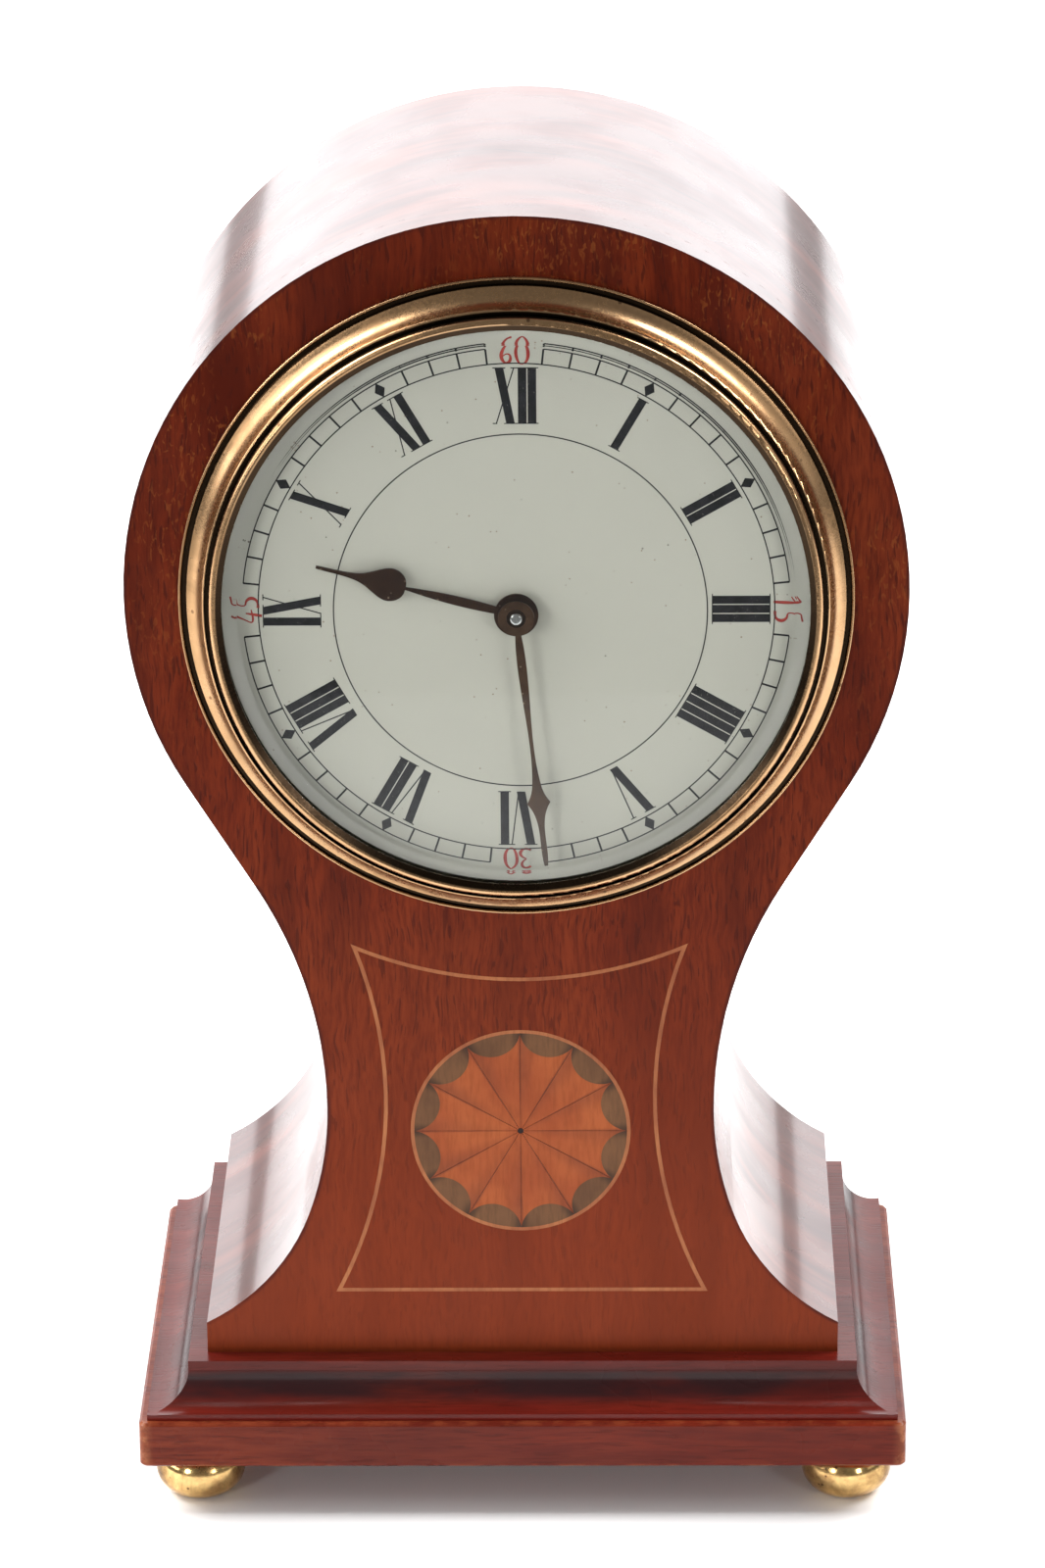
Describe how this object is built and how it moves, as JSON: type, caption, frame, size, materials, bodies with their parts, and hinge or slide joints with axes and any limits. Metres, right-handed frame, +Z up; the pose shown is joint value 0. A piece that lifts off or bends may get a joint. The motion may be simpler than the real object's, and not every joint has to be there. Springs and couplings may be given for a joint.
{
  "type": "mantel clock",
  "caption": "Waisted balloon-shaped mantel clock in inlaid mahogany with a brass bezel, Roman dial, wind-up lever movement and brass bun feet.",
  "frame": {"origin": "middle of the footprint, on the surface that the feet stand on", "axes": "+Z up, -Y towards the dial, +X to the right of the dial as seen from the front"},
  "size_m": [0.14, 0.0944, 0.244],
  "materials": {
    "mahogany_veneer": "polished",
    "mahogany_solid": "polished",
    "carcase_wood": "plain",
    "boxwood": "polished",
    "satinwood": "polished",
    "stained_sycamore": "polished",
    "dark_inlay": "polished",
    "polished_brass": "polished",
    "movement_brass": "satin",
    "steel": "polished",
    "blued_steel": "blued",
    "hand_bronze": "bronzed",
    "enamel": "glossy",
    "glass": "clear"
  },
  "bodies": {
    "case": {"base_slab": "mahogany_solid", "plinth_moulding": "mahogany_solid", "bun_feet": "polished_brass", "foot_screws": "steel", "front_panel": "mahogany_veneer", "side_wrap": "mahogany_veneer", "case_floor": "carcase_wood", "back_board": "mahogany_solid", "back_screws": "movement_brass", "inlay_line": "boxwood", "inlay_ring": "boxwood", "inlay_dot": "dark_inlay", "inlay_petals": "satinwood", "inlay_lunettes": "stained_sycamore", "bezel": "polished_brass", "crystal": "glass", "crystal_ring": "movement_brass", "dial": "enamel", "dial_feet": "movement_brass", "seat_ring": "movement_brass", "seat_screws": "steel", "front_plate": "movement_brass", "rear_plate": "movement_brass", "pillars": "movement_brass", "plate_screws": "blued_steel", "click_screw": "blued_steel", "click_spring": "steel", "escape_cock": "movement_brass", "hairspring": "blued_steel", "balance_cock": "movement_brass", "door_ring": "movement_brass", "door_pin": "steel"},
    "centre": {"centre_arbor": "steel", "centre_wheel": "movement_brass", "cannon_pinion": "steel", "minute_hand": "hand_bronze", "set_knob": "movement_brass"},
    "hour": {"hour_wheel": "movement_brass", "hour_hand": "hand_bronze"},
    "minute_work": {"minute_wheel": "movement_brass"},
    "intermediate": {"intermediate_wheel": "movement_brass", "intermediate_pinion": "steel"},
    "barrel_body": {"barrel": "movement_brass", "barrel_cap": "movement_brass", "mainspring": "blued_steel"},
    "winding_arbor": {"barrel_arbor": "steel", "ratchet_wheel": "steel"},
    "third": {"third_wheel": "movement_brass", "third_pinion": "steel"},
    "fourth": {"fourth_wheel": "movement_brass", "fourth_pinion": "steel"},
    "escape": {"escape_wheel": "movement_brass", "escape_pinion": "steel"},
    "lever": {"pallet_lever": "steel"},
    "balance": {"balance_wheel": "movement_brass", "balance_staff": "steel"},
    "click_body": {"click": "steel"},
    "regulator_body": {"regulator": "steel"},
    "door": {"back_door": "movement_brass", "door_knob": "movement_brass"}
  },
  "joints": [
    {"name": "centre_spin", "type": "hinge", "parent": "case", "child": "centre", "pos_m": [0, 0, 0.172], "axis": [0, 1, 0], "continuous": true},
    {"name": "hour_spin", "type": "hinge", "parent": "case", "child": "hour", "pos_m": [0, 0, 0.172], "axis": [0, 1, 0], "continuous": true},
    {"name": "minute_work_spin", "type": "hinge", "parent": "case", "child": "minute_work", "pos_m": [0.00677, 0, 0.17446], "axis": [0, 1, 0], "continuous": true},
    {"name": "intermediate_spin", "type": "hinge", "parent": "case", "child": "intermediate", "pos_m": [-0.01138, 0, 0.16748], "axis": [0, 1, 0], "continuous": true},
    {"name": "barrel_spin", "type": "hinge", "parent": "case", "child": "barrel_body", "pos_m": [0, 0, 0.154], "axis": [0, 1, 0], "continuous": true},
    {"name": "third_spin", "type": "hinge", "parent": "case", "child": "third", "pos_m": [0.0074, 0, 0.18082], "axis": [0, 1, 0], "continuous": true},
    {"name": "fourth_spin", "type": "hinge", "parent": "case", "child": "fourth", "pos_m": [-0.00154, 0, 0.18408], "axis": [0, 1, 0], "continuous": true},
    {"name": "escape_spin", "type": "hinge", "parent": "case", "child": "escape", "pos_m": [-0.00292, 0, 0.19188], "axis": [0, 1, 0], "continuous": true},
    {"name": "winding", "type": "hinge", "parent": "case", "child": "winding_arbor", "pos_m": [0, 0, 0.154], "axis": [0, -1, 0], "range_deg": [0, 1440]},
    {"name": "click_lift", "type": "hinge", "parent": "case", "child": "click_body", "pos_m": [-0.00831, 0, 0.1588], "axis": [0, -1, 0], "range_deg": [0, 6], "stiffness_Nm_per_rad": 0.001, "springref_deg": -2.86},
    {"name": "lever_rock", "type": "hinge", "parent": "case", "child": "lever", "pos_m": [0.00256, 0, 0.19072], "axis": [0, 1, 0], "range_deg": [-5, 5]},
    {"name": "balance_swing", "type": "hinge", "parent": "case", "child": "balance", "pos_m": [0.00902, 0, 0.18934], "axis": [0, 1, 0], "range_deg": [-270, 270], "stiffness_Nm_per_rad": 0.000002},
    {"name": "regulate", "type": "hinge", "parent": "case", "child": "regulator_body", "pos_m": [0.00902, 0, 0.18934], "axis": [0, 1, 0], "range_deg": [-25, 25]},
    {"name": "door_swing", "type": "hinge", "parent": "case", "child": "door", "pos_m": [0.047, 0.0442, 0.1751], "axis": [0, 0, -1], "range_deg": [0, 110]}
  ],
  "couplings": [
    {"joint": "hour_spin", "follows": "centre_spin", "ratio": 0.083333},
    {"joint": "minute_work_spin", "follows": "centre_spin", "ratio": -0.33333},
    {"joint": "intermediate_spin", "follows": "centre_spin", "ratio": -0.125},
    {"joint": "barrel_spin", "follows": "centre_spin", "ratio": 0.020833},
    {"joint": "third_spin", "follows": "centre_spin", "ratio": -8},
    {"joint": "fourth_spin", "follows": "centre_spin", "ratio": 60},
    {"joint": "escape_spin", "follows": "centre_spin", "ratio": -600}
  ]
}
